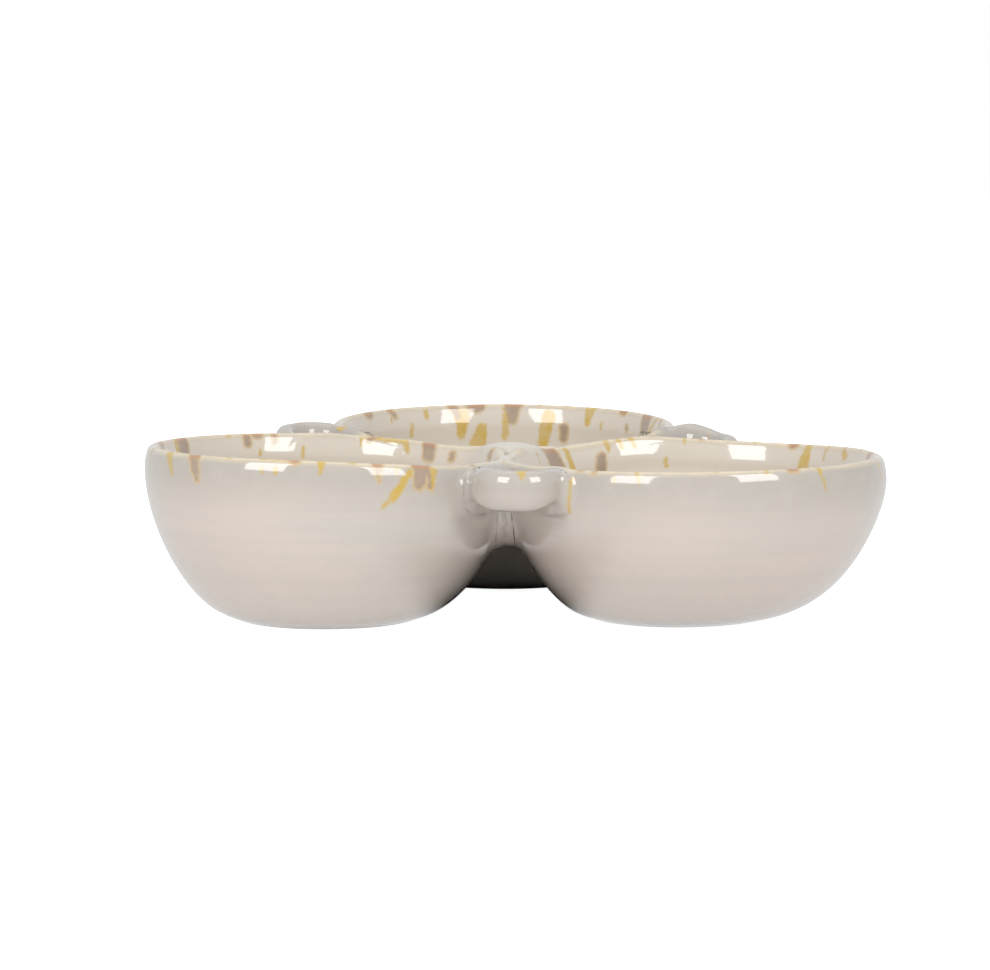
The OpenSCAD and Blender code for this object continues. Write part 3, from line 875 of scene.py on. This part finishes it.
def handle_skin(k, sides=96):
    """Points, faces and fields of handle k."""
    path, turn, place = handle_path(k)
    local = np.concatenate([path, np.zeros((len(path), 1))], -1)
    half_t, half_h, middle = handle_size(k, local)
    a = np.linspace(0, 2 * math.pi, sides, endpoint=False)
    full = lambda v: np.sign(v) * np.abs(v) ** (2 / OVAL)
    out = half_t[:, None] * full(np.cos(a))[None]
    up = half_h[:, None] * full(np.sin(a))[None]
    grid = np.stack([
        path[:, :1] + out * np.cos(turn)[:, None],
        path[:, 1:] + out * np.sin(turn)[:, None],
        middle[:, None] + up,
    ], -1)
    grid = from_joint(k, grid)
    core = from_joint(k, np.concatenate([path, middle[:, None]], -1))
    moved = kept_in_wall(k, smear(grid.reshape(-1, 3), 3 + k))
    points, faces = closed_skin(moved.reshape(grid.shape), *kept_in_wall(k, core[[0, -1]]))
    # a handle's own streaks, by the place along it and the length round it from its top, outwards positive
    fields = fields_at(points)
    from_top = (np.arctan2(np.cos(a), np.sin(a)) * 6.4)[None] + 0 * out
    for colour in streaks:
        own = spindle_distance(colour, handle_nodes[k], place[:, None] + 0 * out, from_top, 1.0, 0)
        fields[colour] = np.minimum(fields[colour], np.append(own, [9.0, 9.0]))
    return points, faces, fields


handles = []
for k, name in enumerate(handle_nodes):
    points, faces, fields = handle_skin(k)
    handles.append(new_piece(name + "_glazed", points, faces, fields, name))

# %% [markdown]
# ## Web skins
#
# A web's skin follows its outline round, and crosses from side to side in rows: over the rounded edge,
# across the face and over the other edge. The two flat sides draw together to one point each.

# %% Webs
def web_skin(k):
    """Points and faces of web k."""
    row = web_rows[k]
    step = np.roll(row, -1, 0) - np.roll(row, 1, 0)
    outward = np.stack([step[:, 1], -step[:, 0]], -1) / np.linalg.norm(step, axis=1)[:, None]
    centre = row.mean(0)
    # how far in from the outline, how far across, and how far drawn together, from one side to the other
    edge = np.linspace(0, math.pi / 2, 7)
    drawn = np.concatenate([[0.15, 0.3], np.linspace(0.4, 0.98, 26)])
    side = np.linspace(0.3, 1.0, len(drawn)) ** 0.3 * WEB_HALF
    corner = WEB_HALF - WEB_ROUND * (1 - np.cos(edge))
    face = np.linspace(WEB_HALF - WEB_ROUND, 0, 7)[1:]
    deep = np.concatenate([np.full(len(drawn), WEB_ROUND), WEB_ROUND * (1 - np.sin(edge)), np.zeros(6)])
    wide = np.concatenate([side, corner, face])
    draw = np.concatenate([drawn, np.ones(13)])
    deep, wide, draw = (np.concatenate([v, s * v[-2::-1]]) for v, s in ((deep, 1), (wide, -1), (draw, 1)))
    flat = row[None] - outward[None] * deep[:, None, None]
    flat = centre + (flat - centre) * draw[:, None, None]
    grid = np.stack([-wide[:, None] / WEB_HALF * web_half(flat[..., 0]), flat[..., 0], flat[..., 1]], -1)
    plain = from_joint(k, grid)
    moved = smear(plain.reshape(-1, 3), 6 + k).reshape(grid.shape)
    # the middles of the flat sides lie deep in the clay and stay as they are
    moved = np.where((draw > 0.35)[:, None, None], moved, plain)
    side = wide[0] / WEB_HALF * web_half(centre[0])
    poles = from_joint(k, np.array([[-side, *centre], [side, *centre]]))
    return closed_skin(moved, poles[0], poles[1])


webs = []
for k, name in enumerate(web_nodes):
    points, faces = web_skin(k)
    webs.append(new_piece(name + "_glazed", points, faces, fields_at(points), name))

# %% [markdown]
# ## Plug skin
#
# The plug is an egg of clay, drawn as circles of latitude. Its top shows as the broad, smooth hump in the
# middle of the dish, and the smearing draws it out over the three lips.

# %% Plug
def plug_skin(rows=110, columns=240):
    """Points and faces of the plug: centre + (R cos t cos p, R cos t sin p, H sin t)."""
    t = np.linspace(math.pi / 2, -math.pi / 2, rows + 2)[1:-1, None]
    p = np.linspace(0, 2 * math.pi, columns, endpoint=False)[None]
    unit = np.stack([np.cos(t) * np.cos(p), np.cos(t) * np.sin(p), np.sin(t) + 0 * p], -1)
    size = np.array([PLUG_R, PLUG_R, PLUG_H])
    grid = PLUG_MIDDLE + unit * size
    moved = smear(grid.reshape(-1, 3), 9)
    poles = PLUG_MIDDLE + np.array([[0, 0, PLUG_H], [0, 0, -PLUG_H]])
    return closed_skin(moved.reshape(grid.shape), poles[0], poles[1])


points, faces = plug_skin()
plug = new_piece("centre_plug_glazed", points, faces, fields_at(points), "centre_plug")

# %% [markdown]
# ## The glaze
#
# One glaze covers the whole dish: a warm white that is greyer where it lies thick, pinker where the
# clay shines through, cream-coloured on the rim where it ran thin, and glossy all over, with the fine
# orange-peel of a fired glaze. The pattern is in object coordinates, so it runs on from piece to piece.
# Part of the colour is painted light and shade: a darker grey band under the outer rim, lighter low walls, lighter
# insides and pale web faces.

# %% Colours
def linear(r, g, b):
    """A screen colour of 0 to 255 as the linear colour that a shader wants."""
    return tuple((c / 255 / 12.92) if c <= 10 else (((c / 255 + 0.055) / 1.055) ** 2.4) for c in (r, g, b)) + (1.0,)


BODY_PINK = linear(214, 202, 193)
BODY_GREY = linear(203, 197, 189)
# painted shade: a greyer, darker band on the outside wall under the rim
UNDER_RIM_PAINTED_SHADE = linear(184, 177, 168)
# painted light: the low outside walls are painted lighter
FOOT_PAINTED_LIGHT = linear(220, 211, 203)
# the inside glaze's own warmer tone, painted lighter than the outside as painted light
INSIDE_TONE_AND_PAINTED_LIGHT = linear(220, 211, 198)
THIN = linear(230, 213, 180)
OCHRE = linear(208, 180, 132)
YELLOW = linear(206, 172, 66)
RUST = linear(184, 134, 96)
BROWN = linear(164, 144, 128)
# painted light: the pale face of each web
WEB_FACE_PAINTED_LIGHT = linear(226, 220, 212)
DUSK = linear(176, 168, 158)


# %% Glaze material
def link(tree, a, b):
    tree.links.new(a, b)


def node(tree, kind, **values):
    """A new node with its properties and inputs set."""
    made = tree.nodes.new(kind)
    for key, value in values.items():
        if hasattr(made, key):
            setattr(made, key, value)
        else:
            made.inputs[key.replace("_", " ")].default_value = value
    return made


def ramp(tree, value, low, high):
    """0 below low, 1 above high, and a soft step between."""
    made = tree.nodes.new("ShaderNodeMapRange")
    made.interpolation_type = "SMOOTHSTEP"
    made.inputs["From Min"].default_value = low
    made.inputs["From Max"].default_value = high
    link(tree, value, made.inputs["Value"])
    return made.outputs["Result"]


def maths(tree, operation, a, b):
    """One Math node; a and b are numbers or sockets."""
    made = tree.nodes.new("ShaderNodeMath")
    made.operation = operation
    for socket, value in zip(made.inputs, (a, b)):
        if isinstance(value, (int, float)):
            socket.default_value = value
        else:
            link(tree, value, socket)
    return made.outputs[0]


def times(tree, a, b):
    return maths(tree, "MULTIPLY", a, b)


def blend_colour(tree, share, a, b):
    """Mix of two colours by a share; a and b are colours or sockets."""
    made = tree.nodes.new("ShaderNodeMix")
    made.data_type = "RGBA"
    link(tree, share, made.inputs["Factor"])
    for socket, value in ((made.inputs[6], a), (made.inputs[7], b)):
        if isinstance(value, tuple):
            socket.default_value = value
        else:
            link(tree, value, socket)
    return made.outputs[2]


def fall(tree, value, low, high):
    """1 below low, 0 above high, and a soft step between."""
    return maths(tree, "SUBTRACT", 1.0, ramp(tree, value, low, high))


def noise(tree, place, scale, detail, rough=0.5):
    made = node(tree, "ShaderNodeTexNoise", Scale=scale, Detail=detail, Roughness=rough)
    link(tree, place, made.inputs["Vector"])
    return made.outputs["Fac"]


def field(tree, name):
    made = tree.nodes.new("ShaderNodeAttribute")
    made.attribute_name = name
    return made.outputs["Fac"]


def glaze(name):
    """The dish's glaze."""
    material = bpy.data.materials.new(name)
    material.use_nodes = True
    tree = material.node_tree
    shader = tree.nodes["Principled BSDF"]
    place = tree.nodes.new("ShaderNodeTexCoord").outputs["Object"]
    split = tree.nodes.new("ShaderNodeSeparateXYZ")
    link(tree, place, split.inputs[0])
    height = times(tree, split.outputs["Z"], 1000.0)
    rim = field(tree, "from_rim")
    cloud = noise(tree, place, 14.0, 3.0)
    mottle = noise(tree, place, 140.0, 4.0, 0.6)
    # throwing lines: a noise drawn out along the wall
    flat = tree.nodes.new("ShaderNodeMapping")
    flat.inputs["Scale"].default_value = (6.0, 6.0, 190.0)
    link(tree, place, flat.inputs["Vector"])
    rings = noise(tree, flat.outputs[0], 1.0, 3.0)
    blotch = maths(tree, "ADD", times(tree, cloud, 0.55), times(tree, rings, 0.45))
    colour = blend_colour(tree, ramp(tree, blotch, 0.36, 0.6), BODY_GREY, BODY_PINK)
    # painted shade: the outside wall from the rim to 26 mm below it is painted darker grey
    under_rim_shade = fall(tree, rim, 4.0, 26.0)
    colour = blend_colour(tree, times(tree, under_rim_shade, 0.9), colour, UNDER_RIM_PAINTED_SHADE)
    # painted light: the walls are painted lighter towards the foot, as if lit by light from the floor
    low = fall(tree, height, 6.0, 26.0)
    colour = blend_colour(tree, times(tree, low, 0.7), colour, FOOT_PAINTED_LIGHT)
    colour = blend_colour(tree, times(tree, ramp(tree, mottle, 0.45, 0.75), 0.3), colour, BODY_GREY)
    # the insides and the hump's top near the hub take their own tone, painted lighter than the outside as painted light
    inside = ramp(tree, times(tree, rim, -1.0), 0.0, 4.0)
    top = times(tree, ramp(tree, height, 54.0, 60.0), ramp(tree, field(tree, "melted"), 0.4, 2.0))
    top = times(tree, top, fall(tree, field(tree, "hub"), 20.0, 28.0))
    inside = maths(tree, "MAXIMUM", inside, top)
    colour = blend_colour(tree, inside, colour, INSIDE_TONE_AND_PAINTED_LIGHT)
    # thin glaze on the crest, less where the clay is smeared over it
    ragged = maths(tree, "ADD", maths(tree, "ABSOLUTE", rim, 0.0), times(tree, mottle, 3.0))
    thin = fall(tree, ragged, 1.8, 5.2)
    smeared = fall(tree, field(tree, "melted"), 0.3, 1.6)
    thin = times(tree, times(tree, thin, smeared), 0.9)
    colour = blend_colour(tree, thin, colour, THIN)
    # painted light: the web's face is painted pale, as if lit from the front, with a speckled grey middle, above its
    # round lower edge
    web = fall(tree, field(tree, "web"), 0.3, 1.0)
    web = times(tree, web, ramp(tree, field(tree, "melted"), 1.0, 2.5))
    colour = blend_colour(tree, times(tree, web, 0.8), colour, WEB_FACE_PAINTED_LIGHT)
    core = fall(tree, field(tree, "web_side"), 1.0, 1.8)
    core = times(tree, times(tree, core, web), ramp(tree, mottle, 0.4, 0.6))
    colour = blend_colour(tree, times(tree, core, 0.7), colour, DUSK)
    # streaks: rust where brown crosses the rim, an ochre fringe round it, ragged edges for all
    wander = times(tree, maths(tree, "SUBTRACT", noise(tree, place, 420.0, 3.0), 0.5), 2.2)
    near_rim = fall(tree, maths(tree, "ABSOLUTE", rim, 0.0), 1.4, 3.2)
    shade = blend_colour(tree, near_rim, BROWN, RUST)
    patchy = maths(tree, "ADD", 0.7, times(tree, ramp(tree, mottle, 0.35, 0.65), 0.25))
    for key, colour_of, reach in (("brown", OCHRE, 0.7), ("yellow", YELLOW, 0.0), ("brown", shade, 0.0)):
        ragged = maths(tree, "ADD", field(tree, key), wander)
        mask = fall(tree, ragged, 1.4 * reach - 1.0, 1.4 * reach + 0.6)
        colour = blend_colour(tree, times(tree, mask, patchy), colour, colour_of)
    link(tree, colour, shader.inputs["Base Color"])
    bump = node(tree, "ShaderNodeBump", Strength=0.1, Distance=0.0003)
    peel = maths(tree, "ADD", noise(tree, place, 300.0, 2.0), times(tree, noise(tree, place, 900.0, 2.0), 0.2))
    link(tree, peel, bump.inputs["Height"])
    link(tree, bump.outputs["Normal"], shader.inputs["Normal"])
    shader.inputs["Roughness"].default_value = 0.08
    shader.inputs["IOR"].default_value = 1.5
    shader.inputs["Coat Weight"].default_value = 0.8
    shader.inputs["Coat Roughness"].default_value = 0.03
    shader.inputs["Coat IOR"].default_value = 1.6
    return material


stoneware = glaze("pale_glaze")
for piece in bowls + handles + webs + [plug]:
    piece.data.materials.append(stoneware)
print("glaze has", len(stoneware.node_tree.nodes), "nodes")

# %% [markdown]
# ## Floor, light and camera
#
# The floor is white to the camera and keeps a faint shadow. Close under the dish it is painted dark to the
# light and to the glaze's reflections, a painted shadow. Two large soft boxes stand to the left and right of
# the camera, and give the paired highlights on the rims. The camera is a long lens at a low angle, because
# the dish is seen almost from the side.

# %% Floor
# how bright the white room is in the glaze's reflections
MIRRORED = 0.74


def white_floor():
    """A wide sheet at height 0: white with a faint shadow to the camera, paper to the light, and white to the
    glaze's reflections. Close under the dish the paper and the reflections are painted dark: a painted shadow."""
    mesh = bpy.data.meshes.new("floor")
    far = 6.0
    mesh.from_pydata([(-far, -far, 0), (far, -far, 0), (far, far, 0), (-far, far, 0)], [], [(0, 1, 2, 3)])
    floor = bpy.data.objects.new("floor", mesh)
    bpy.context.collection.objects.link(floor)
    material = bpy.data.materials.new("white_paper")
    material.use_nodes = True
    tree = material.node_tree
    tree.nodes.clear()
    out = tree.nodes.new("ShaderNodeOutputMaterial")
    path = tree.nodes.new("ShaderNodeLightPath")
    seen = maths(tree, "MAXIMUM", path.outputs["Is Camera Ray"], path.outputs["Is Transmission Ray"])
    place = tree.nodes.new("ShaderNodeTexCoord").outputs["Object"]
    shifted = tree.nodes.new("ShaderNodeMapping")
    shifted.inputs["Location"].default_value = (-3.6 * hub[0] * MM, 0.01, 0)
    shifted.inputs["Scale"].default_value = (3.6, 0.9, 1)
    link(tree, place, shifted.inputs["Vector"])
    length = tree.nodes.new("ShaderNodeVectorMath")
    length.operation = "LENGTH"
    link(tree, shifted.outputs[0], length.inputs[0])
    paper = node(tree, "ShaderNodeBsdfDiffuse")
    # painted shadow: the paper is nearly black to the light close under the dish
    beyond_painted_shadow = ramp(tree, length.outputs["Value"], 0.07, 0.115)
    link(tree, blend_colour(tree, beyond_painted_shadow, (0.02, 0.018, 0.016, 1), (0.94, 0.92, 0.9, 1)), paper.inputs["Color"])
    bright = node(tree, "ShaderNodeBsdfDiffuse", Color=(0.9, 0.9, 0.9, 1))
    glow = node(tree, "ShaderNodeEmission", Strength=0.95)
    both = tree.nodes.new("ShaderNodeAddShader")
    link(tree, bright.outputs[0], both.inputs[0])
    link(tree, glow.outputs[0], both.inputs[1])
    mirrored = tree.nodes.new("ShaderNodeEmission")
    # painted shadow: the glaze's reflections of the floor go dark close under the dish
    link(tree, times(tree, ramp(tree, length.outputs["Value"], 0.075, 0.15), MIRRORED), mirrored.inputs["Strength"])
    first = tree.nodes.new("ShaderNodeMixShader")
    link(tree, seen, first.inputs[0])
    link(tree, paper.outputs[0], first.inputs[1])
    link(tree, both.outputs[0], first.inputs[2])
    second = tree.nodes.new("ShaderNodeMixShader")
    link(tree, path.outputs["Is Glossy Ray"], second.inputs[0])
    link(tree, first.outputs[0], second.inputs[1])
    link(tree, mirrored.outputs[0], second.inputs[2])
    link(tree, second.outputs[0], out.inputs["Surface"])
    floor.data.materials.append(material)
    return floor


white_floor()


# %% Lights
def soft_box(name, azimuth, elevation, distance, width, tall, watts):
    """An area lamp that faces the dish; azimuth 0 is behind the camera, in degrees."""
    lamp = bpy.data.lights.new(name, "AREA")
    lamp.shape = "RECTANGLE"
    lamp.size, lamp.size_y = width, tall
    lamp.energy = watts
    made = bpy.data.objects.new(name, lamp)
    bpy.context.collection.objects.link(made)
    a, e = math.radians(azimuth), math.radians(elevation)
    made.location = distance * Vector((math.sin(a) * math.cos(e), -math.cos(a) * math.cos(e), math.sin(e)))
    made.rotation_euler = (-made.location).to_track_quat("-Z", "Y").to_euler()
    return made


soft_box("left_soft_box", -37, 31, 1.5, 0.62, 0.7, 6.6)
soft_box("right_soft_box", 38, 31, 1.5, 0.58, 0.7, 6.0)
soft_box("overhead", 180, 78, 1.8, 1.6, 1.6, 4)
front = soft_box("front_fill", -12, 6, 2.0, 1.6, 0.4, 2.2)
front.visible_glossy = False

world = bpy.data.worlds.new("studio")
bpy.context.scene.world = world
world.use_nodes = True
tree = world.node_tree
path = tree.nodes.new("ShaderNodeLightPath")
ground = tree.nodes["Background"]
ground.inputs["Color"].default_value = (1.0, 1.0, 1.0, 1)
seen = maths(tree, "MAXIMUM", path.outputs["Is Camera Ray"], path.outputs["Is Transmission Ray"])
seen = maths(tree, "MAXIMUM", seen, times(tree, path.outputs["Is Glossy Ray"], MIRRORED))
link(tree, maths(tree, "MAXIMUM", seen, 0.53), ground.inputs["Strength"])

# %% Camera
lens = bpy.data.cameras.new("camera")
camera = bpy.data.objects.new("camera", lens)
bpy.context.collection.objects.link(camera)
lens.sensor_width = 36.0
lens.lens = 3962.0 * 36.0 / 990.0
camera.location = (-8.3 * MM, -1658.9 * MM, 215.0 * MM)
camera.rotation_euler = (math.radians(90 - 5.75), 0, 0)
bpy.context.scene.camera = camera
bpy.context.scene.view_settings.view_transform = "Standard"
